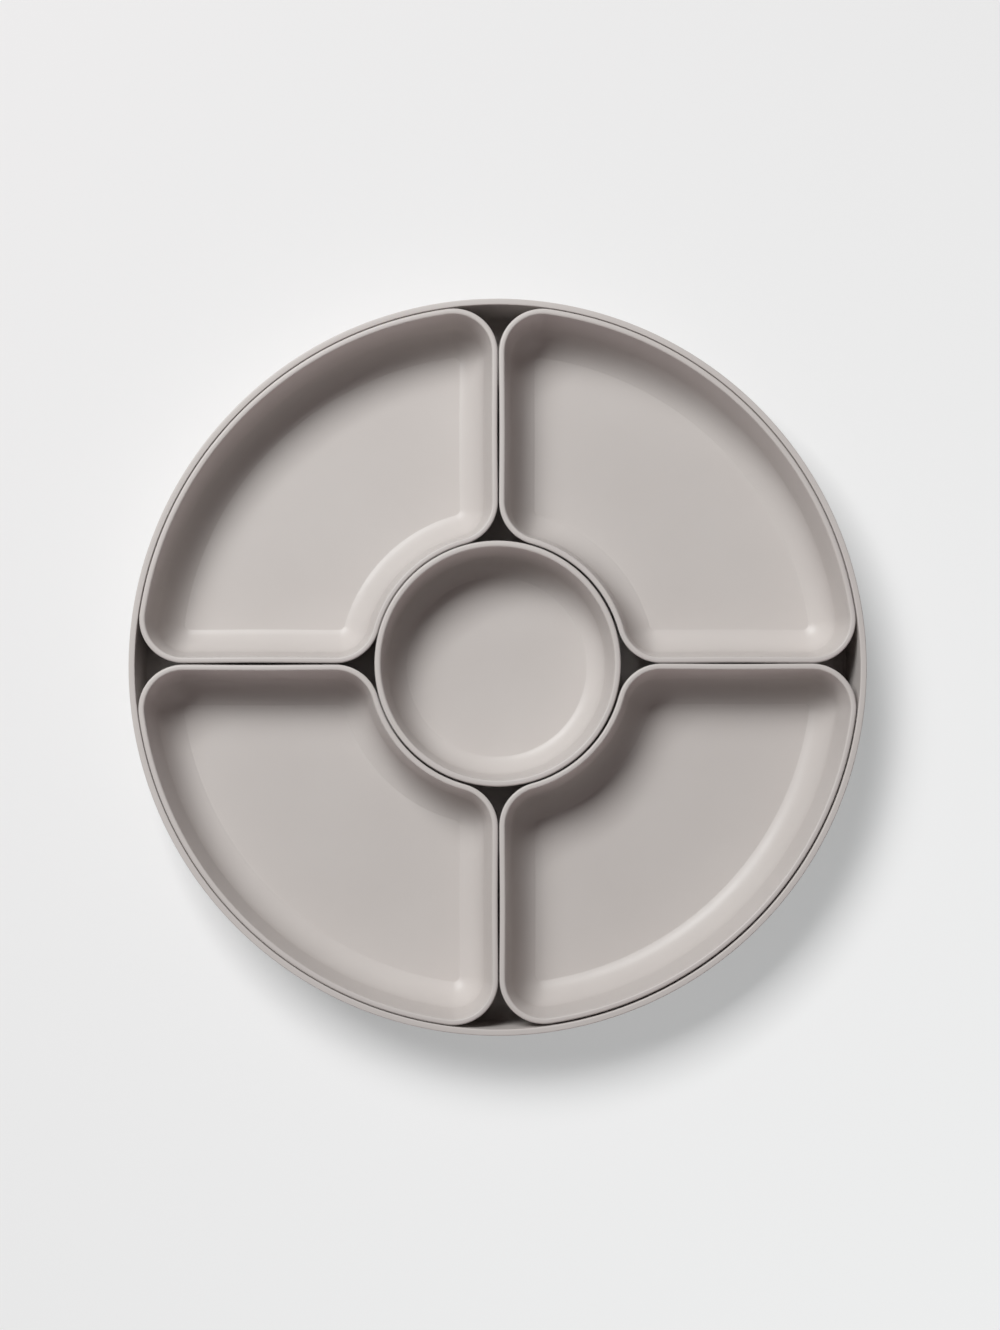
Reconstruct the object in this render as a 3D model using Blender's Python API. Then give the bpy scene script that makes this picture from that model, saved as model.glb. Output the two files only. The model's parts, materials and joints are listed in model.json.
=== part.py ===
"""Divided serving plate, in metres, +Z up.

A round tray holds four equal fan-shaped dishes round a small dip bowl. Every piece is one moulded shell with an
even wall, a rounded rim and a foot ring, and the five small pieces lift straight up out of the tray. The origin
lies on the surface that the tray stands on, under the middle of the tray.
"""

import math

import bmesh
import bpy

# Tray
TRAY_DIAMETER = 0.3556
TRAY_HEIGHT = 0.041
TRAY_WALL = 0.003
TRAY_DRAFT = math.radians(3)
TRAY_BOTTOM_ROUND = 0.008
TRAY_RIM_ROUND = 0.0011
TRAY_FOOT_HEIGHT = 0.0012
TRAY_FOOT_WIDTH = 0.0035
TRAY_FOOT_INSET = 0.004

# Fan-shaped dishes. Their rims lie level with the tray's.
DISH_WALL = 0.0028
DISH_DRAFT = math.radians(9.5)
DISH_BOTTOM_ROUND = 0.0155
DISH_RIM_ROUND = 0.001
DISH_CORNER_RADIUS = 0.0213
DISH_LEAST_CORNER_RADIUS = 0.0015
DISH_FOOT_HEIGHT = 0.0009
DISH_FOOT_WIDTH = 0.0025
DISH_FOOT_INSET = 0.003
DISH_FOOT_CORNER_RADIUS = 0.005

# Dip bowl. Its rim lies level with the others.
BOWL_DIAMETER = 0.1188
BOWL_WALL = 0.0031
BOWL_DRAFT = math.radians(7)
BOWL_BOTTOM_ROUND = 0.0116
BOWL_RIM_ROUND = 0.0011
BOWL_FOOT_HEIGHT = 0.0009
BOWL_FOOT_WIDTH = 0.0025
BOWL_FOOT_INSET = 0.003

# Fits. The seat gap lies under each foot ring, and the others are the play that lets a piece drop in by hand.
SEAT_GAP = 0.0003
DISH_TO_TRAY_GAP = 0.0007
DISH_TO_DISH_GAP = 0.0007
DISH_TO_BOWL_GAP = 0.00065

# The loose pieces have slid a little: the dishes together, as shares of their gap to the tray, and the bowl from
# the middle of the dishes, as shares of its own gap. Along X, then along Y.
DISH_SLIDE_SHARES = (-0.35, -0.1)
BOWL_SLIDE_SHARES = (-0.35, 0.1)

# Each side of a foot ring spreads by this much between the ground and the underside.
FOOT_SPREAD = 0.0004

# The two rounded edges of a rim each take this share of its width at most.
MOST_RIM_ROUND_SHARE = 0.45

# Flat steps of each round stretch
TRAY_TURN_STEPS = 72
BOWL_TURN_STEPS = 48
CORNER_STEPS = 5
OUTER_ARC_STEPS = 16
INNER_ARC_STEPS = 8
BOTTOM_ROUND_STEPS = 6
RIM_ROUND_STEPS = 2

# Edges that turn by more than this look sharp.
SHARP_EDGE = math.radians(35)

# Warm pale grey melamine with a soft sheen
MELAMINE_COLOUR = (0.50, 0.475, 0.455, 1.0)
MELAMINE_ROUGHNESS = 0.45
MELAMINE_METALLIC = 0.0

QUARTER_TURN = math.pi / 2
FULL_TURN = 2 * math.pi


def arc(centre, radius, start, end, steps):
    """The points of an arc round centre, from the start angle to the end angle."""
    angles = [start + (end - start) * step / steps for step in range(steps + 1)]
    return [(centre[0] + radius * math.cos(angle), centre[1] + radius * math.sin(angle)) for angle in angles]


def rim_width(wall, draft):
    """How wide a drafted wall is when it is cut level."""
    return wall / math.cos(draft)


def tray_floor_height():
    return TRAY_FOOT_HEIGHT + TRAY_WALL


def seat_height():
    """Where the foot rings of the dishes and the bowl rest."""
    return tray_floor_height() + SEAT_GAP


def foot_section(side_inset, height, width):
    """The foot ring's four points, from its inner side to its outer side."""
    return [
        (side_inset + width + FOOT_SPREAD, height),
        (side_inset + width, 0),
        (side_inset, 0),
        (side_inset - FOOT_SPREAD, height),
    ]


def wall_section(top, underside, wall, draft, bottom_round, rim_round):
    """The wall's points, from the edge of the underside over the rim to the edge of the floor.

    The wall leans in towards the bottom by the draft. Its inner and outer bottom rounds share one centre, which
    keeps its thickness even. The last point is where the flat floor begins.
    """
    width = rim_width(wall, draft)
    rim_round = min(rim_round, MOST_RIM_ROUND_SHARE * width)
    slant = 1 / math.cos(draft)
    rim_height = top - rim_round

    def side_at(height):
        """The inset of the wall's outer face: nothing at the widest line, where the face meets the rim's round."""
        return rim_round * (1 - slant) + (rim_height - height) * math.tan(draft)

    outer_edge = (side_at(rim_height) + rim_round * slant, rim_height)
    inner_edge = (side_at(rim_height) + width - rim_round * slant, rim_height)
    round_height = underside + wall + bottom_round
    bottom = (side_at(round_height) + width + bottom_round * slant, round_height)
    outward = 2 * QUARTER_TURN + draft
    down = 3 * QUARTER_TURN
    return (
        arc(bottom, bottom_round + wall, down, outward, BOTTOM_ROUND_STEPS)
        + arc(outer_edge, rim_round, outward, QUARTER_TURN, RIM_ROUND_STEPS)
        + arc(inner_edge, rim_round, QUARTER_TURN, draft, RIM_ROUND_STEPS)
        + arc(bottom, bottom_round, outward, down, BOTTOM_ROUND_STEPS)
    )


def round_shell(name, diameter, section, steps):
    """A round shell: its section is spun once round the Z axis, and the flats in its middle are filled."""
    shape = bmesh.new()
    verts = [shape.verts.new((diameter / 2 - inset, 0, height)) for inset, height in section]
    edges = [shape.edges.new(pair) for pair in zip(verts, verts[1:])]
    bmesh.ops.spin(
        shape,
        geom=verts + edges,
        cent=(0, 0, 0),
        axis=(0, 0, 1),
        angle=FULL_TURN,
        steps=steps,
        use_merge=True,
    )
    bmesh.ops.holes_fill(shape, edges=[edge for edge in shape.edges if edge.is_boundary])
    return finished_mesh(shape, name)


def fan_outline(inset, corner):
    """A fan dish's outline where x and y are both positive, moved inwards by the inset.

    Two straight sides lie along the axes, a large arc follows the tray, a small hollow arc goes round the bowl,
    and four rounds join them.
    """
    side = DISH_TO_DISH_GAP / 2 + inset
    outer = TRAY_DIAMETER / 2 - rim_width(TRAY_WALL, TRAY_DRAFT) - DISH_TO_TRAY_GAP - inset
    inner = BOWL_DIAMETER / 2 + DISH_TO_BOWL_GAP + inset
    across = side + corner
    far = math.sqrt((outer - corner) ** 2 - across**2)
    near = math.sqrt((inner + corner) ** 2 - across**2)
    far_turn = math.atan2(across, far)
    near_turn = math.atan2(across, near)
    middle = (0, 0)
    return (
        arc((far, across), corner, -QUARTER_TURN, far_turn, CORNER_STEPS)
        + arc(middle, outer, far_turn, QUARTER_TURN - far_turn, OUTER_ARC_STEPS)[1:-1]
        + arc((across, far), corner, QUARTER_TURN - far_turn, 2 * QUARTER_TURN, CORNER_STEPS)
        + arc((across, near), corner, 2 * QUARTER_TURN, 3 * QUARTER_TURN - near_turn, CORNER_STEPS)
        + arc(middle, inner, QUARTER_TURN - near_turn, near_turn, INNER_ARC_STEPS)[1:-1]
        + arc((near, across), corner, 2 * QUARTER_TURN + near_turn, 3 * QUARTER_TURN, CORNER_STEPS)
    )


def fan_shell(name, foot, wall):
    """A fan-shaped shell, lofted through one ring for each point of its section, with both flats closed.

    The corners of the wall's rings share their centres, so they grow tighter towards the floor.
    """
    shape = bmesh.new()
    rings = [ring_at(shape, fan_outline(inset, DISH_FOOT_CORNER_RADIUS), height) for inset, height in foot]
    for inset, height in wall:
        corner = max(DISH_CORNER_RADIUS - inset, DISH_LEAST_CORNER_RADIUS)
        rings.append(ring_at(shape, fan_outline(inset, corner), height))
    for lower, upper in zip(rings, rings[1:]):
        for index, vert in enumerate(lower):
            shape.faces.new((lower[index - 1], vert, upper[index], upper[index - 1]))
    shape.faces.new(rings[0])
    shape.faces.new(rings[-1])
    return finished_mesh(shape, name)


def ring_at(shape, outline, height):
    """A vertex at each of the outline's points, all at the same height."""
    return [shape.verts.new((x, y, height)) for x, y in outline]


def finished_mesh(shape, name):
    """A mesh of the shape with its faces pointing out, smooth but for its sharp edges."""
    bmesh.ops.recalc_face_normals(shape, faces=shape.faces)
    mesh = bpy.data.meshes.new(name)
    shape.to_mesh(mesh)
    shape.free()
    mesh.shade_smooth()
    mesh.set_sharp_from_angle(angle=SHARP_EDGE)
    return mesh


def melamine(name):
    material = bpy.data.materials.new(name)
    material.use_nodes = True
    surface = material.node_tree.nodes["Principled BSDF"]
    surface.inputs["Base Color"].default_value = MELAMINE_COLOUR
    surface.inputs["Roughness"].default_value = MELAMINE_ROUGHNESS
    surface.inputs["Metallic"].default_value = MELAMINE_METALLIC
    return material


def place(name, mesh, location, turn=0):
    piece = bpy.data.objects.new(name, mesh)
    piece.location = location
    piece.rotation_euler.z = turn
    bpy.context.scene.collection.objects.link(piece)


def dish_slide():
    return [share * DISH_TO_TRAY_GAP for share in DISH_SLIDE_SHARES]


def bowl_slide():
    own = [share * DISH_TO_BOWL_GAP for share in BOWL_SLIDE_SHARES]
    return [dishes + bowl for dishes, bowl in zip(dish_slide(), own)]


def make_tray():
    wall = wall_section(
        TRAY_HEIGHT, TRAY_FOOT_HEIGHT, TRAY_WALL, TRAY_DRAFT, TRAY_BOTTOM_ROUND, TRAY_RIM_ROUND
    )
    foot = foot_section(wall[0][0] + TRAY_FOOT_INSET, TRAY_FOOT_HEIGHT, TRAY_FOOT_WIDTH)
    mesh = round_shell("serving_tray", TRAY_DIAMETER, foot + wall, TRAY_TURN_STEPS)
    mesh.materials.append(melamine("tray_melamine"))
    place("serving_tray", mesh, (0, 0, 0))


def make_fan_dishes():
    """Four dishes from one mesh, each a quarter turn on from the last."""
    wall = wall_section(
        TRAY_HEIGHT - seat_height(), DISH_FOOT_HEIGHT, DISH_WALL, DISH_DRAFT, DISH_BOTTOM_ROUND, DISH_RIM_ROUND
    )
    foot = foot_section(wall[0][0] + DISH_FOOT_INSET, DISH_FOOT_HEIGHT, DISH_FOOT_WIDTH)
    mesh = fan_shell("fan_dish", foot, wall)
    mesh.materials.append(melamine("dish_melamine"))
    names = ("rear_right", "rear_left", "front_left", "front_right")
    for turns, corner in enumerate(names):
        place(f"fan_dish_{corner}", mesh, (*dish_slide(), seat_height()), turns * QUARTER_TURN)


def make_dip_bowl():
    wall = wall_section(
        TRAY_HEIGHT - seat_height(), BOWL_FOOT_HEIGHT, BOWL_WALL, BOWL_DRAFT, BOWL_BOTTOM_ROUND, BOWL_RIM_ROUND
    )
    foot = foot_section(wall[0][0] + BOWL_FOOT_INSET, BOWL_FOOT_HEIGHT, BOWL_FOOT_WIDTH)
    mesh = round_shell("dip_bowl", BOWL_DIAMETER, foot + wall, BOWL_TURN_STEPS)
    mesh.materials.append(melamine("bowl_melamine"))
    place("dip_bowl", mesh, (*bowl_slide(), seat_height()))


def main():
    for old in list(bpy.data.objects):
        bpy.data.objects.remove(old, do_unlink=True)
    make_tray()
    make_fan_dishes()
    make_dip_bowl()


main()
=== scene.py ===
# %% [markdown]
# # A divided serving plate
#
# A round tray of moulded melamine holds four fan-shaped dishes round a small dip bowl, and each of the five lifts
# out by itself. This lesson gives the six pieces their fine surface and their finish, and sets them on a pale
# table under one soft lamp and a white board.
#
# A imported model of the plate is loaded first. Its six solids are exact but coarse, and it says which of them
# move. They stay as they are: each fine piece below stands for one of them and rides on the same body.

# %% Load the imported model
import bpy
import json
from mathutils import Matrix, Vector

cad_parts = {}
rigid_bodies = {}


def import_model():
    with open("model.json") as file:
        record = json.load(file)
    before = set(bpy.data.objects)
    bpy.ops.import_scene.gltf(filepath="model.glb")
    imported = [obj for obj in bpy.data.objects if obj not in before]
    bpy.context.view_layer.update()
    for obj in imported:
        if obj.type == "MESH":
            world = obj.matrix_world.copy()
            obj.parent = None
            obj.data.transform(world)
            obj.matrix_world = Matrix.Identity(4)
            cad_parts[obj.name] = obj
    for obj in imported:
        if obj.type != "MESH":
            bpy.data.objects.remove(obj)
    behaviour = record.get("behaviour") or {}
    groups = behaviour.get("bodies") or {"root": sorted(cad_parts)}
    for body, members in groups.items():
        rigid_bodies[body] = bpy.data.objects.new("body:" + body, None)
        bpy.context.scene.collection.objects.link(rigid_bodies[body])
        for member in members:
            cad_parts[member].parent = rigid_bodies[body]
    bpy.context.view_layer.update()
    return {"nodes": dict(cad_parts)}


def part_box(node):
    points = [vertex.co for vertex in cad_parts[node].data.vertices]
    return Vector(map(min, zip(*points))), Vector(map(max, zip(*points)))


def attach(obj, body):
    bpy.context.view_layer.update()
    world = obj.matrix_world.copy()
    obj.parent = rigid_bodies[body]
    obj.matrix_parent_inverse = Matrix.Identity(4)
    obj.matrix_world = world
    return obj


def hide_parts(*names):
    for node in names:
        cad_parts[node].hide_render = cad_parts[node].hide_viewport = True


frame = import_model()
print("solids:", ", ".join(sorted(frame["nodes"])))

# %% Bring in what the lesson uses
import json
import math

import bmesh
import bpy
from mathutils import Matrix, Vector

UP = Vector((0, 0, 1))
QUARTER_TURN = math.pi / 2
FULL_TURN = 2 * math.pi
MM = 0.001
CM = 0.01

# %% [markdown]
# ## Sizes
#
# The outer sizes could be typed again here, but then a change to the model would leave the fine pieces behind.
# So they are read from the boxes of its solids: how wide the tray and the bowl are, how high the rims lie, and how
# far the loose pieces have slid together. A box can't tell how thick a wall is or how round an edge, so those have
# names.

# %% Read the outer sizes from the solids
tray_low, tray_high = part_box("serving_tray")
bowl_low, bowl_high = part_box("dip_bowl")
rear_right_low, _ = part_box("fan_dish_rear_right")
_, front_left_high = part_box("fan_dish_front_left")
TRAY_RADIUS = (tray_high.x - tray_low.x) / 2
BOWL_RADIUS = (bowl_high.x - bowl_low.x) / 2
RIM_HEIGHT = tray_high.z
SEAT_HEIGHT = bowl_low.z
PIECE_HEIGHT = RIM_HEIGHT - SEAT_HEIGHT
BOWL_PLACE = (bowl_low + bowl_high) / 2
DISH_PLACE = (rear_right_low + front_left_high) / 2
print(f"tray {2 * TRAY_RADIUS / MM:.1f} mm across, rims {RIM_HEIGHT / MM:.1f} mm up")
print(f"bowl {2 * BOWL_RADIUS / MM:.1f} mm across, its middle {BOWL_PLACE.x / MM:.2f} mm off the tray's")

# %% [markdown]
# ## How the loose pieces lie
#
# The solids slide together, by one small step. On the real table each piece has slid its own way, and it shows:
# the front right dish has left a dark gap along the tray's wall, the rear ones almost touch it, and the gap round
# the bowl is wide on one side and narrow on the other. Each fine piece is nudged from its solid's place until the
# gaps come out as in the picture. That takes less than half a millimetre, and 0.3 mm stays free everywhere.

# %% Nudge the loose pieces
NUDGES = {
    "rear_right": (0.295 * MM, 0.35 * MM),
    "rear_left": (0.085 * MM, 0.31 * MM),
    "front_left": (-0.025 * MM, -0.01 * MM),
    "front_right": (0.205 * MM, 0.45 * MM),
    "bowl": (0.02 * MM, 0.355 * MM),
}


def lying_place(name, solid_place):
    """Where a loose piece stands: beside its solid's place by its nudge, on the seat."""
    along_x, along_y = NUDGES[name]
    return Matrix.Translation((solid_place.x + along_x, solid_place.y + along_y, SEAT_HEIGHT))


longest = max(math.hypot(*nudge) for nudge in NUDGES.values())
print(f"the longest nudge is {longest / MM:.2f} mm")

# %% [markdown]
# ## The section of a wall
#
# Tray, dishes and bowl are all shells: a flat floor, a wide round, a wall that leans out a little so that the piece
# comes out of its mould, and a flat rim with two small rounds. They differ only in these sizes, so one function
# can draw the section of each. The tray's rim has a smaller round than the others: in the picture its outer edge
# stays bright even where it turns away from the lamp.
#
# The rounds could be worked out point by point. It is easier to draw the section with sharp corners, as a wire of
# a few vertices, and to round each corner with a bevel of its vertex, as one does by hand in edit mode. A section
# is drawn in the XZ plane, with X as the distance in from the widest line.
#
# In the picture the bright line along each floor ends sharply on the floor's side. So the wide round doesn't run
# out level there: it meets the floor while it still slopes a little. In the tray, which the dishes cover, it
# simply runs out.

# %% Name the sizes of each section
SECTIONS = {
    "tray": {"wall": 3.0 * MM, "draft": math.radians(3), "bottom_round": 8 * MM, "rim_round": 0.6 * MM},
    "dish": {"wall": 2.8 * MM, "draft": math.radians(9.5), "bottom_round": 15.5 * MM, "rim_round": 1.0 * MM},
    "bowl": {"wall": 3.1 * MM, "draft": math.radians(7), "bottom_round": 11.6 * MM, "rim_round": 1.1 * MM},
}
LAST_SLOPES = {"tray": 0, "dish": math.radians(11.5), "bowl": math.radians(11.5)}
FEET = {
    "tray": {"height": 1.2 * MM, "width": 3.5 * MM, "inset": 4 * MM},
    "dish": {"height": 0.9 * MM, "width": 2.5 * MM, "inset": 3 * MM},
    "bowl": {"height": 0.9 * MM, "width": 2.5 * MM, "inset": 3 * MM},
}
RIM_STEPS = 6
BOTTOM_STEPS = 24
FLAT_RING = 1 * MM
EDGE_RING = 0.3 * MM


# %% Draw a section and round its corners
def draw_wire(wire, points):
    """Vertices at these places in the XZ plane, each joined to the next."""
    verts = [wire.verts.new((across, 0, height)) for across, height in points]
    for pair in zip(verts, verts[1:]):
        wire.edges.new(pair)
    return verts


def round_corner(wire, vert, radius, steps):
    """Bevels a wire's corner so that its round has this radius, whatever the corner's angle."""
    arms = [edge.other_vert(vert).co - vert.co for edge in vert.link_edges]
    bmesh.ops.bevel(
        wire,
        geom=[vert],
        affect="VERTICES",
        offset=radius / math.tan(arms[0].angle(arms[1]) / 2),
        offset_type="OFFSET",
        segments=steps,
        profile=0.5,
        material=-1,
    )


def chain_from(vert):
    """The vertices of a wire in order, from its first one on."""
    chain = [vert]
    while True:
        ahead = [edge.other_vert(chain[-1]) for edge in chain[-1].link_edges]
        ahead = [other for other in ahead if other not in chain[-2:]]
        if not ahead:
            return chain
        chain.append(ahead[0])


def wall_section(top, underside, last_slope, wall, draft, bottom_round, rim_round):
    """(inset, height) of each point of a wall, from the underside over the rim to the floor."""
    level_width = wall / math.cos(draft)
    widest = top - rim_round
    floor = underside + wall

    def face_at(height):
        return rim_round * (1 - 1 / math.cos(draft)) + (widest - height) * math.tan(draft)

    floor_start = face_at(floor + bottom_round) + level_width + bottom_round / math.cos(draft)
    wire = bmesh.new()
    start, outer_bottom, outer_rim, inner_rim, inner_bottom, end = draw_wire(
        wire,
        (
            (floor_start + FLAT_RING, underside),
            (face_at(underside), underside),
            (face_at(top), top),
            (face_at(top) + level_width, top),
            (face_at(floor) + level_width, floor),
            (floor_start + FLAT_RING, floor),
        ),
    )
    round_corner(wire, outer_bottom, bottom_round + wall, BOTTOM_STEPS)
    round_corner(wire, outer_rim, rim_round, RIM_STEPS)
    round_corner(wire, inner_rim, rim_round, RIM_STEPS)
    round_corner(wire, inner_bottom, bottom_round, BOTTOM_STEPS)
    section = [(vert.co.x, vert.co.z) for vert in chain_from(start)]
    wire.free()
    if last_slope:
        section = raise_floor(section, floor_start, floor, bottom_round, last_slope)
    return section


def raise_floor(section, round_end, floor, bottom_round, slope):
    """Lifts the floor to where the inner round still has this slope, so that the round ends there."""
    level = floor + bottom_round * (1 - math.cos(slope))
    edge = round_end - bottom_round * math.sin(slope)
    kept = len(section)
    while section[kept - 1][1] < level:
        kept -= 1
    return section[:kept] + [(edge, level), (edge + EDGE_RING, level), (edge + FLAT_RING, level)]


walls = {
    name: wall_section(
        RIM_HEIGHT if name == "tray" else PIECE_HEIGHT, FEET[name]["height"], LAST_SLOPES[name], **sizes
    )
    for name, sizes in SECTIONS.items()
}
for name, section in walls.items():
    print(f"{name}: {len(section)} points, the floor lies {section[-1][1] / MM:.1f} mm up")

# %% [markdown]
# ## The foot rings
#
# Each piece stands on a narrow ring under the edge of its floor, as moulded tableware does: it stays steady on a
# table that isn't quite flat, and only the ring gets scratched. The picture looks straight down and doesn't show
# it. Its section is four points, with sides that spread a little towards the underside.

# %% Draw the foot ring's section
FOOT_SPREAD = 0.4 * MM


def foot_section(wall, height, width, inset):
    """(inset, height) of the foot ring's points, from its inner side to its outer side."""
    floor_start = wall[0][0] - FLAT_RING
    outer = floor_start + inset
    return [
        (outer + width + FOOT_SPREAD, height),
        (outer + width, 0),
        (outer, 0),
        (outer - FOOT_SPREAD, height),
    ]


feet = {name: foot_section(walls[name], **sizes) for name, sizes in FEET.items()}
for name, foot in feet.items():
    print(f"{name}: foot ring {foot[2][0] / MM:.1f} to {foot[1][0] / MM:.1f} mm in from the widest line")

# %% [markdown]
# ## Round shells
#
# The tray and the bowl are turned forms, so one spin of the section round the Z axis makes the whole shell. The
# section runs from the axis under the floor, over the rim, and back to the axis on top of the floor, which closes
# both flats at once. A full spin needs `use_merge`, or its last copy would lie on the first with a seam between
# them. A point on each flat, 1 mm in from its edge, keeps the shading of the rounds out of the flat.

# %% Spin the tray and the bowl
TRAY_TURN_STEPS = 240
BOWL_TURN_STEPS = 160
MERGE_DISTANCE = 0.01 * MM


def round_shell(radius, foot, wall, steps):
    """The tray's or the bowl's shell, standing at height zero."""
    shape = bmesh.new()
    section = [(0, foot[0][1])]
    section += [(radius - inset, height) for inset, height in foot + wall]
    section += [(0, wall[-1][1])]
    verts = draw_wire(shape, section)
    bmesh.ops.spin(
        shape,
        geom=verts + list(shape.edges),
        cent=(0, 0, 0),
        axis=UP,
        angle=FULL_TURN,
        steps=steps,
        use_merge=True,
    )
    bmesh.ops.remove_doubles(shape, verts=shape.verts, dist=MERGE_DISTANCE)
    return shape


# %% [markdown]
# ## Finish a shell
#
# A finished piece keeps its object at the origin, unturned and unscaled, and has its place in its mesh, as the
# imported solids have. Spinning can leave faces pointing in, so the normals are recalculated on the closed shell.
# Everything is shaded smooth except edges sharper than 35 degrees, which only the foot rings have.

# %% Turn a shape into a piece
SHARP_EDGE = math.radians(35)


def finish_piece(shape, name, body, place=Matrix.Identity(4)):
    """Makes an object of the shape, which stands for the solid of the same name and rides on its body."""
    bmesh.ops.transform(shape, matrix=place, verts=shape.verts)
    bmesh.ops.recalc_face_normals(shape, faces=shape.faces)
    open_edges = sum(not edge.is_manifold for edge in shape.edges)
    volume = shape.calc_volume()
    mesh = bpy.data.meshes.new(f"{name}_shell")
    shape.to_mesh(mesh)
    shape.free()
    mesh.shade_smooth()
    mesh.set_sharp_from_angle(angle=SHARP_EDGE)
    piece = bpy.data.objects.new(f"{name}_shell", mesh)
    bpy.context.scene.collection.objects.link(piece)
    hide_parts(name)
    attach(piece, body)
    print(f"{piece.name}: {len(mesh.polygons)} faces, {open_edges} open edges, {volume / CM**3:.1f} cm3")


finish_piece(
    round_shell(TRAY_RADIUS, feet["tray"], walls["tray"], TRAY_TURN_STEPS), "serving_tray", "tray"
)
finish_piece(
    round_shell(BOWL_RADIUS, feet["bowl"], walls["bowl"], BOWL_TURN_STEPS),
    "dip_bowl",
    "bowl",
    lying_place("bowl", BOWL_PLACE),
)

# %% [markdown]
# ## The outline of a fan dish
#
# Seen from above, a dish has two sides at a right angle, a large arc along the tray's wall, a small hollow arc
# round the bowl, and four rounds that join them. Each arc is one vertex swung round its centre with spin, so it is
# truly round, and `edgeloop_fill` closes the outline to a single face.
#
# Where the rounds touch the two large arcs follows from the radii: a round's centre lies one corner radius from
# the side, and at the large radius less, or the small radius plus, the corner radius from the middle.
#
# The sides look straight. But the dark gaps between the dishes are half as wide again in their middle as at their
# ends, because a long moulded side draws in a little when it cools. So a side is a flat wave that draws in halfway
# and runs straight into the rounds at both ends. An arc would meet them at a slight angle, and insetting the face
# as far as the floor would turn that into a crossed corner.

# %% Swing the arcs of the outline
DISH_CORNER = 21.3 * MM
DISH_TO_TRAY_GAP = 0.6 * MM
DISH_TO_DISH_GAP = 0.45 * MM
DISH_TO_BOWL_GAP = 0.6 * MM
SIDE_BOW = 0.2 * MM
CORNER_TURN_STEPS = 24
OUTER_ARC_STEPS = 72
INNER_ARC_STEPS = 36
SIDE_STEPS = 24


def swing(shape, centre, radius, start, end, steps):
    """An arc of vertices and edges from the start angle on to the end angle, made by swinging one vertex."""
    vert = shape.verts.new((centre[0] + radius * math.cos(start), centre[1] + radius * math.sin(start), 0))
    bmesh.ops.spin(shape, geom=[vert], cent=(*centre, 0), axis=UP, angle=end - start, steps=steps)


def draw_sides(shape, near, far, side):
    """The side along X and the side along Y, each from near to far, drawn in halfway."""
    shares = [step / SIDE_STEPS for step in range(SIDE_STEPS + 1)]
    places = [(near + share * (far - near), side + SIDE_BOW * math.sin(math.pi * share) ** 2) for share in shares]
    for points in (places, [place[::-1] for place in places]):
        verts = [shape.verts.new((*point, 0)) for point in points]
        for pair in zip(verts, verts[1:]):
            shape.edges.new(pair)


def fan_face(shape, inset, corner, height):
    """Adds a face: a dish's outline where x and y are both positive, moved in by the inset."""
    first = len(shape.verts)
    side = DISH_TO_DISH_GAP / 2 + inset
    outer = TRAY_RADIUS - SECTIONS["tray"]["wall"] / math.cos(SECTIONS["tray"]["draft"]) - DISH_TO_TRAY_GAP - inset
    inner = BOWL_RADIUS + DISH_TO_BOWL_GAP + inset
    across = side + corner
    far = math.sqrt((outer - corner) ** 2 - across**2)
    near = math.sqrt((inner + corner) ** 2 - across**2)
    far_turn = math.atan2(across, far)
    near_turn = math.atan2(across, near)
    middle = (0, 0)
    swing(shape, (far, across), corner, -QUARTER_TURN, far_turn, CORNER_TURN_STEPS)
    swing(shape, middle, outer, far_turn, QUARTER_TURN - far_turn, OUTER_ARC_STEPS)
    swing(shape, (across, far), corner, QUARTER_TURN - far_turn, 2 * QUARTER_TURN, CORNER_TURN_STEPS)
    swing(shape, (across, near), corner, 2 * QUARTER_TURN, 3 * QUARTER_TURN - near_turn, CORNER_TURN_STEPS)
    swing(shape, middle, inner, near_turn, QUARTER_TURN - near_turn, INNER_ARC_STEPS)
    swing(shape, (near, across), corner, 2 * QUARTER_TURN + near_turn, 3 * QUARTER_TURN, CORNER_TURN_STEPS)
    draw_sides(shape, near, far, side)
    shape.verts.ensure_lookup_table()
    bmesh.ops.remove_doubles(shape, verts=shape.verts[first:], dist=MERGE_DISTANCE)
    shape.verts.ensure_lookup_table()
    bmesh.ops.translate(shape, verts=shape.verts[first:], vec=(0, 0, height))
    edges = [edge for edge in shape.edges if edge.is_wire]
    return bmesh.ops.edgeloop_fill(shape, edges=edges)["faces"][0]


trial = bmesh.new()
outline = fan_face(trial, 0, DISH_CORNER, 0)
print(f"outline: {len(outline.verts)} points round {outline.calc_area() / CM**2:.1f} cm2")
trial.free()

# %% [markdown]
# ## A fan dish
#
# A dish isn't round, so a spin can't make it. But every level of its wall is the same outline, moved in by the
# section's inset. That is what the inset operator does: starting from the widest line, the face is inset and
# moved down again and again along the outer side to the underside, and a second face is inset up over the rim
# and down to the floor. The rounds in the corners grow tighter on the way in, as they do on the real dish.
#
# Where an inset would swallow the corners, the floor is reached. Two narrow flat rings there keep the shading of
# the round out of the floor. The foot ring has wider corners than the underside's edge, so it starts from an
# outline of its own. Bridging two loops whose points lie so unevenly can twist the faces between them, while
# `triangle_fill` just fills the flat between the two outlines.

# %% Inset a dish along its section
FOOT_CORNER = 5 * MM
LEAST_CORNER = 0.5 * MM
LAST_RING = 0.1 * MM


def carry(shape, face, path):
    """Insets and moves a face along (inset, height) points, of which the first is where it already lies."""
    for (inset, height), (next_inset, next_height) in zip(path, path[1:]):
        bmesh.ops.inset_region(shape, faces=[face], thickness=next_inset - inset, use_even_offset=True)
        bmesh.ops.translate(shape, verts=face.verts, vec=(0, 0, next_height - height))


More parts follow.
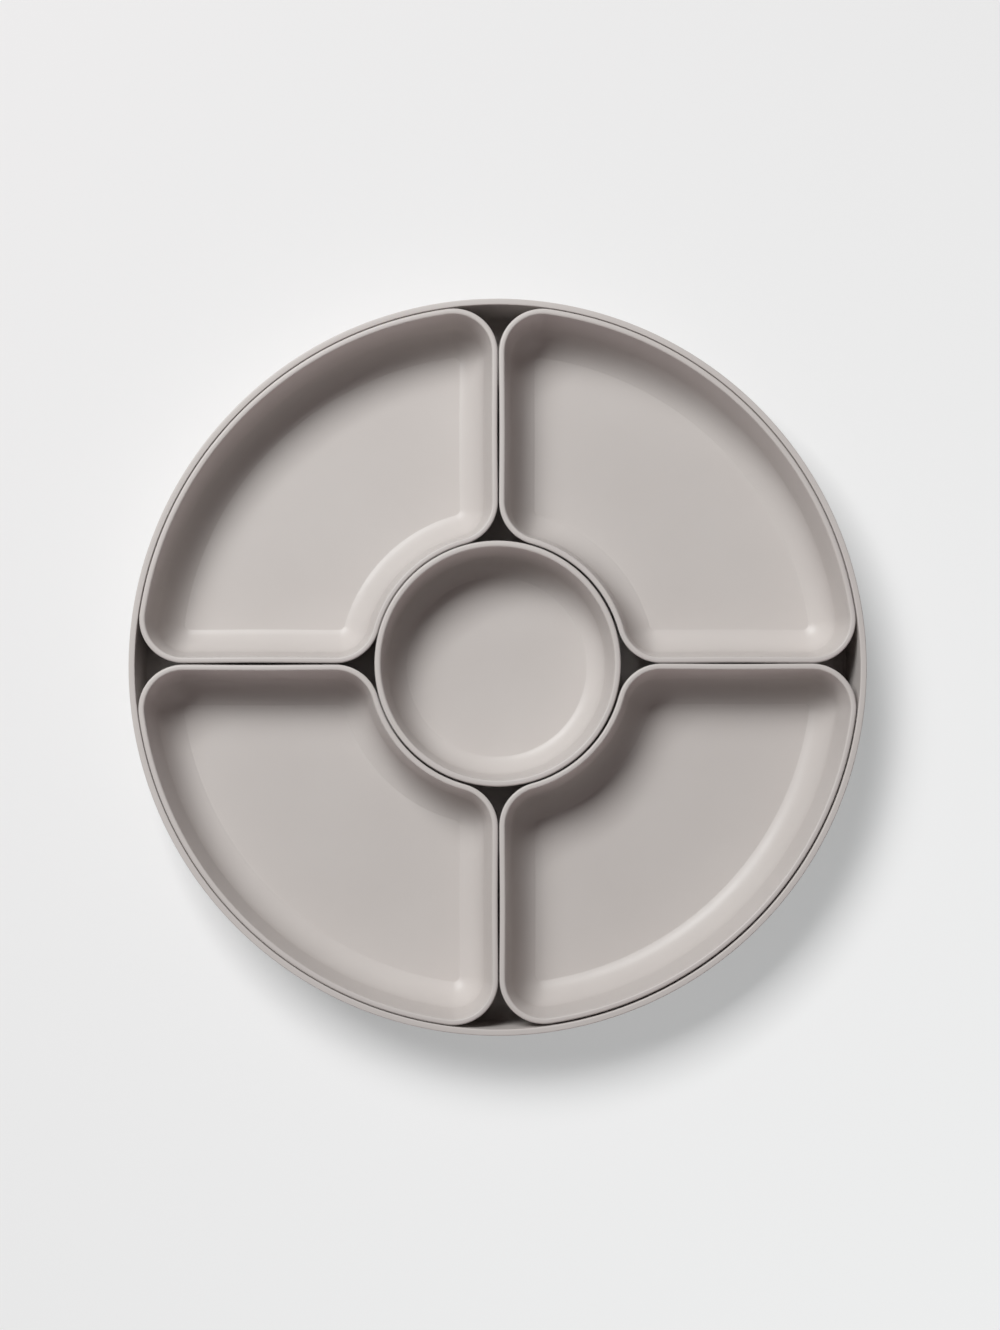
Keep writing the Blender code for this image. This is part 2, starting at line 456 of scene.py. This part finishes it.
def to_the_flat(path):
    """The part of a path that leaves each corner its least radius, ended by two points on the flat."""
    last_inset = DISH_CORNER - LEAST_CORNER
    flat = path[-1][1]
    kept = [point for point in path if point[0] < last_inset - LAST_RING]
    return kept + [(last_inset, flat), (last_inset + LAST_RING, flat)]


def fan_shell(foot, wall):
    """A dish where x and y are both positive, standing at height zero."""
    widest = min(range(len(wall)), key=lambda index: wall[index][0])
    inset, height = wall[widest]
    band_top = wall[widest + 1][1]
    shape = bmesh.new()
    under = fan_face(shape, inset, DISH_CORNER, height)
    extruded = bmesh.ops.extrude_face_region(shape, geom=[under], use_keep_orig=True)["geom"]
    over = next(part for part in extruded if isinstance(part, bmesh.types.BMFace))
    bmesh.ops.translate(shape, verts=over.verts, vec=(0, 0, band_top - height))
    carry(shape, over, to_the_flat([(inset, band_top)] + wall[widest + 2:]))
    carry(shape, under, to_the_flat(wall[widest::-1]))
    ring = fan_face(shape, foot[-1][0], FOOT_CORNER, foot[-1][1])
    flat = list(under.edges) + list(ring.edges)
    bmesh.ops.delete(shape, geom=[under], context="FACES_ONLY")
    bmesh.ops.triangle_fill(shape, edges=flat, use_beauty=True, normal=-UP)
    carry(shape, ring, foot[::-1])
    return shape


# %% Make the four dishes, each a quarter turn on from the last
for turns, corner in enumerate(("rear_right", "rear_left", "front_left", "front_right")):
    place = lying_place(corner, DISH_PLACE) @ Matrix.Rotation(turns * QUARTER_TURN, 4, UP)
    finish_piece(
        fan_shell(feet["dish"], walls["dish"]), f"fan_dish_{corner}", f"{corner}_dish", place
    )

# %% [markdown]
# ## Melamine
#
# The real pieces are pressed from melamine, a hard plastic with a warm pale grey colour all through. The surface
# isn't glossy and isn't chalky: it has a silky sheen, like an eggshell. A single flat colour would look like a
# drawing of it. So three things vary a little, each at its own scale: the colour and the roughness drift over
# centimetres, as the powder flowed in the mould, and a very fine grain from the mould's blasted steel breaks up
# the sheen. A slow waviness, only a hundredth of a millimetre high, keeps the flats from looking machined.
#
# All of it is procedural and reads Object coordinates. Each piece gets its own offset, so that no two dishes have
# the same clouds.

# %% Make the material
MELAMINE_DARK = (0.508, 0.467, 0.447, 1)
MELAMINE_LIGHT = (0.524, 0.484, 0.464, 1)
CLOUD_SIZE = 45 * MM
CLOUD_DETAIL = 3
SMUDGE_SIZE = 18 * MM
SMUDGE_DETAIL = 4
WAVE_SIZE = 22 * MM
WAVE_DETAIL = 1
WAVE_HEIGHT = 0.008 * MM
GRAIN_SIZE = 0.8 * MM
GRAIN_DETAIL = 2
GRAIN_HEIGHT = 0.003 * MM
NOISE_LOW = 0.3
NOISE_HIGH = 0.7
LEAST_ROUGHNESS = 0.3
MOST_ROUGHNESS = 0.36
SHEEN_LEVEL = 0.2


def noise(nodes, links, place, size, detail):
    """Soft random patches about this size."""
    patches = nodes.new("ShaderNodeTexNoise")
    patches.inputs["Scale"].default_value = 1 / size
    patches.inputs["Detail"].default_value = detail
    links.new(place, patches.inputs["Vector"])
    return patches.outputs["Fac"]


def bump(nodes, links, height, distance, below=None):
    """Pushes the surface in and out by a height pattern, on top of another bump if there is one."""
    relief = nodes.new("ShaderNodeBump")
    relief.inputs["Distance"].default_value = distance
    links.new(height, relief.inputs["Height"])
    if below:
        links.new(below, relief.inputs["Normal"])
    return relief.outputs["Normal"]


def melamine(name, offset):
    """The finish of one piece, with its patterns moved by the offset."""
    material = bpy.data.materials.new(name)
    material.use_nodes = True
    nodes, links = material.node_tree.nodes, material.node_tree.links
    surface = nodes["Principled BSDF"]
    surface.inputs["Specular IOR Level"].default_value = SHEEN_LEVEL
    coordinates = nodes.new("ShaderNodeTexCoord")
    mapping = nodes.new("ShaderNodeMapping")
    mapping.inputs["Location"].default_value = offset
    links.new(coordinates.outputs["Object"], mapping.inputs["Vector"])
    place = mapping.outputs["Vector"]

    clouds = nodes.new("ShaderNodeValToRGB")
    clouds.color_ramp.elements[0].position = NOISE_LOW
    clouds.color_ramp.elements[0].color = MELAMINE_DARK
    clouds.color_ramp.elements[1].position = NOISE_HIGH
    clouds.color_ramp.elements[1].color = MELAMINE_LIGHT
    links.new(noise(nodes, links, place, CLOUD_SIZE, CLOUD_DETAIL), clouds.inputs["Fac"])
    links.new(clouds.outputs["Color"], surface.inputs["Base Color"])

    smudges = nodes.new("ShaderNodeMapRange")
    smudges.inputs["From Min"].default_value = NOISE_LOW
    smudges.inputs["From Max"].default_value = NOISE_HIGH
    smudges.inputs["To Min"].default_value = LEAST_ROUGHNESS
    smudges.inputs["To Max"].default_value = MOST_ROUGHNESS
    links.new(noise(nodes, links, place, SMUDGE_SIZE, SMUDGE_DETAIL), smudges.inputs["Value"])
    links.new(smudges.outputs["Result"], surface.inputs["Roughness"])

    waves = bump(nodes, links, noise(nodes, links, place, WAVE_SIZE, WAVE_DETAIL), WAVE_HEIGHT)
    grain = bump(nodes, links, noise(nodes, links, place, GRAIN_SIZE, GRAIN_DETAIL), GRAIN_HEIGHT, waves)
    links.new(grain, surface.inputs["Normal"])
    return material


# %% Dress each piece, each with clouds of its own
PIECE_SPACING = 0.7
shells = [piece for piece in bpy.context.scene.objects if piece.name.endswith("_shell")]
for index, piece in enumerate(sorted(shells, key=lambda piece: piece.name)):
    finish = melamine(f"{piece.name}_melamine", (PIECE_SPACING * index, 0, 0))
    piece.data.materials.append(finish)
    print(piece.name, "wears", finish.name)

# %% [markdown]
# ## The camera
#
# The plate is seen from straight above, a little off its middle: the inner walls on one side show more than on
# the other. The camera stands 1.14 m above the rims, which is far enough for the tray's round rim to stay round.
# Its place was found by lining the rims up with the picture, and the lens gives their size in it.
# The frame is taller than it is wide, so the 36 mm of the sensor lie along its height.

# %% Set the camera above the plate
CAMERA_PLACE = (-0.0221, -0.0647, 1.177)
CAMERA_TURN = (math.radians(3.234), math.radians(-1.14), math.radians(-0.07))
SENSOR_HEIGHT = 36
LENS = 63.99

camera_data = bpy.data.cameras.new("camera")
camera_data.sensor_fit = "VERTICAL"
camera_data.sensor_height = SENSOR_HEIGHT
camera_data.lens = LENS
camera = bpy.data.objects.new("camera", camera_data)
camera.location = CAMERA_PLACE
camera.rotation_euler = CAMERA_TURN
bpy.context.scene.collection.objects.link(camera)
bpy.context.scene.camera = camera
print(f"the camera is {CAMERA_PLACE[2] - RIM_HEIGHT:.3f} m above the rims, with a lens of {LENS} mm")

# %% [markdown]
# ## The table and the background
#
# The plate lies on a pale, almost white sweep of paper. If the paper were simply white, the lamp would have to be
# stronger to make it look so, and the plate would wash out. So part of its brightness is only for the camera: the
# shader adds a faint glow that Light Path shows to the camera, to reflections and through glass, and to nothing
# else. The rest is ordinary diffuse paper, which takes the plate's shadow.
#
# The lamp is near, so the paper gets less light on the side away from it. The plate shows that fall of light, but
# the picture's background is even. So the glow grows along the floor, away from the lamp, by as much as the light
# falls off, and stays constant beyond the edge of the picture. Its colour is a little cool and the paper's a
# little warm. Where the lamp shines, the two make white, and in the plate's shadow they make the warm light that
# is left there look as grey as it does in the picture.
#
# Seen from the side, the paper reaches as far as the horizon, past the lamps, where its brightness would tell
# where they stand. So, for the camera alone, it turns into the plain background half a metre and more away from
# the plate.

# %% Lay the paper
FLOOR_SIZE = 40
FLOOR_DROP = 0.05 * MM
PAPER_COLOUR = (0.582, 0.56, 0.56, 1)
PAPER_ROUGHNESS = 0.9
PAPER_GLOW = 0.295
GLOW_COLOUR = (0.945, 1, 0.997, 1)
GLOW_SLOPE = (0.23, -0.27, 0)
MOST_GLOW_CHANGE = 0.15
BACKGROUND = (0.84, 0.84, 0.835, 1)
PAPER_REACH = 0.5
BACKGROUND_START = 1.1


def seen_directly(nodes, links):
    """1 for rays from the camera, in reflections and through glass, and 0 for all others."""
    path = nodes.new("ShaderNodeLightPath")
    total = None
    for ray in ("Is Camera Ray", "Is Glossy Ray", "Is Transmission Ray"):
        if total is None:
            total = path.outputs[ray]
            continue
        add = nodes.new("ShaderNodeMath")
        add.operation = "ADD"
        add.use_clamp = True
        links.new(total, add.inputs[0])
        links.new(path.outputs[ray], add.inputs[1])
        total = add.outputs["Value"]
    return total


def product(nodes, links, first, second):
    """One value times another."""
    times = nodes.new("ShaderNodeMath")
    times.operation = "MULTIPLY"
    links.new(first, times.inputs[0])
    links.new(second, times.inputs[1])
    return times.outputs["Value"]


def paper():
    """Pale paper round the plate, which the camera sees turn into the background farther out."""
    material = bpy.data.materials.new("paper")
    material.use_nodes = True
    nodes, links = material.node_tree.nodes, material.node_tree.links
    surface = nodes["Principled BSDF"]
    surface.inputs["Base Color"].default_value = PAPER_COLOUR
    surface.inputs["Roughness"].default_value = PAPER_ROUGHNESS
    surface.inputs["Specular IOR Level"].default_value = 0
    surface.inputs["Emission Color"].default_value = GLOW_COLOUR

    coordinates = nodes.new("ShaderNodeTexCoord")
    along = nodes.new("ShaderNodeVectorMath")
    along.operation = "DOT_PRODUCT"
    along.inputs[1].default_value = GLOW_SLOPE
    links.new(coordinates.outputs["Object"], along.inputs[0])
    glow = nodes.new("ShaderNodeMapRange")
    glow.inputs["From Min"].default_value = -MOST_GLOW_CHANGE
    glow.inputs["From Max"].default_value = MOST_GLOW_CHANGE
    glow.inputs["To Min"].default_value = PAPER_GLOW - MOST_GLOW_CHANGE
    glow.inputs["To Max"].default_value = PAPER_GLOW + MOST_GLOW_CHANGE
    links.new(along.outputs["Value"], glow.inputs["Value"])
    seen = seen_directly(nodes, links)
    links.new(product(nodes, links, glow.outputs["Result"], seen), surface.inputs["Emission Strength"])

    away = nodes.new("ShaderNodeVectorMath")
    away.operation = "LENGTH"
    links.new(coordinates.outputs["Object"], away.inputs[0])
    fade = nodes.new("ShaderNodeMapRange")
    fade.inputs["From Min"].default_value = PAPER_REACH
    fade.inputs["From Max"].default_value = BACKGROUND_START
    links.new(away.outputs["Value"], fade.inputs["Value"])
    plain = nodes.new("ShaderNodeEmission")
    plain.inputs["Color"].default_value = BACKGROUND
    mixer = nodes.new("ShaderNodeMixShader")
    links.new(product(nodes, links, fade.outputs["Result"], seen), mixer.inputs["Fac"])
    links.new(surface.outputs["BSDF"], mixer.inputs[1])
    links.new(plain.outputs["Emission"], mixer.inputs[2])
    links.new(mixer.outputs["Shader"], nodes["Material Output"].inputs["Surface"])
    return material


shape = bmesh.new()
bmesh.ops.create_grid(shape, x_segments=1, y_segments=1, size=FLOOR_SIZE / 2)
bmesh.ops.translate(shape, verts=shape.verts, vec=(0, 0, -FLOOR_DROP))
floor_mesh = bpy.data.meshes.new("floor")
shape.to_mesh(floor_mesh)
shape.free()
floor_mesh.materials.append(paper())
floor = bpy.data.objects.new("floor", floor_mesh)
bpy.context.scene.collection.objects.link(floor)
print(f"paper {FLOOR_SIZE} m wide, glow {PAPER_GLOW} give or take {MOST_GLOW_CHANGE}")

# %% [markdown]
# ## Light
#
# The shadows tell where the lamp stood. Inside each dish the rim casts a shadow on the floor to the lower right,
# and it reaches as far as a light about 53 degrees above the table would throw it. Its edge is soft, as under a
# softbox that spans 30 by 22 degrees seen from the plate.
#
# The shadowed walls aren't black. They are darkest at their foot and grow lighter towards the rim, so most of the
# light that fills them comes in low, over the rim on the near side. A long white board stands there on its edge,
# made of an area lamp that the camera doesn't see. The rest of the room adds only a little from all round. Both
# are a little pink and the lamp is a little cool, for the shadows in the picture are warmer than the lit floors.

# %% Light the table
LAMP_AZIMUTH = math.radians(126)
LAMP_ELEVATION = math.radians(53)
LAMP_DISTANCE = 2.2
LAMP_WIDTH = math.radians(30)
LAMP_HEIGHT = math.radians(22)
LAMP_LEVEL = 1.15
LAMP_COLOUR = (0.97, 1, 1)
BOARD_AZIMUTH = math.radians(285)
BOARD_DISTANCE = 2.5
BOARD_WIDTH = 5
BOARD_HEIGHT = 0.67
BOARD_LEVEL = 2.0
FILL_LEVEL = 0.1
FILL_COLOUR = (1, 0.86, 0.88)

towards_lamp = Vector(
    (
        math.cos(LAMP_AZIMUTH) * math.cos(LAMP_ELEVATION),
        math.sin(LAMP_AZIMUTH) * math.cos(LAMP_ELEVATION),
        math.sin(LAMP_ELEVATION),
    )
)


def soft_lamp(name, towards, distance, width, height, level):
    """A softbox whose light, square to the plate, makes white come out as this level."""
    data = bpy.data.lights.new(name, "AREA")
    data.shape = "RECTANGLE"
    data.size = 2 * distance * math.tan(width / 2)
    data.size_y = 2 * distance * math.tan(height / 2)
    data.color = LAMP_COLOUR
    data.energy = level * math.pi**2 * distance**2
    lamp = bpy.data.objects.new(name, data)
    lamp.location = towards * distance
    lamp.rotation_euler = (-towards).to_track_quat("-Z", "Y").to_euler()
    bpy.context.scene.collection.objects.link(lamp)
    return lamp


def white_board(name, azimuth, distance, width, height, level):
    """A board that stands on the table, faces the plate and shines as brightly as a surface of this level."""
    data = bpy.data.lights.new(name, "AREA")
    data.shape = "RECTANGLE"
    data.size = width
    data.size_y = height
    data.color = FILL_COLOUR
    data.energy = level * math.pi * width * height
    board = bpy.data.objects.new(name, data)
    board.location = (distance * math.cos(azimuth), distance * math.sin(azimuth), height / 2)
    board.rotation_euler = (QUARTER_TURN, 0, azimuth + QUARTER_TURN)
    board.visible_camera = False
    bpy.context.scene.collection.objects.link(board)
    return board


lamp = soft_lamp("softbox", towards_lamp, LAMP_DISTANCE, LAMP_WIDTH, LAMP_HEIGHT, LAMP_LEVEL)
board = white_board("board", BOARD_AZIMUTH, BOARD_DISTANCE, BOARD_WIDTH, BOARD_HEIGHT, BOARD_LEVEL)
print(f"softbox {lamp.data.size:.2f} m wide, {lamp.data.energy:.0f} W, board {board.data.energy:.0f} W")

world = bpy.data.worlds.new("studio")
world.use_nodes = True
bpy.context.scene.world = world
nodes, links = world.node_tree.nodes, world.node_tree.links
room = nodes["Background"]
room.inputs["Color"].default_value = (*FILL_COLOUR, 1)
room.inputs["Strength"].default_value = FILL_LEVEL
backdrop = nodes.new("ShaderNodeBackground")
backdrop.inputs["Color"].default_value = BACKGROUND
mixer = nodes.new("ShaderNodeMixShader")
links.new(seen_directly(nodes, links), mixer.inputs["Fac"])
links.new(room.outputs["Background"], mixer.inputs[1])
links.new(backdrop.outputs["Background"], mixer.inputs[2])
links.new(mixer.outputs["Shader"], nodes["World Output"].inputs["Surface"])
bpy.context.scene.view_settings.view_transform = "Standard"
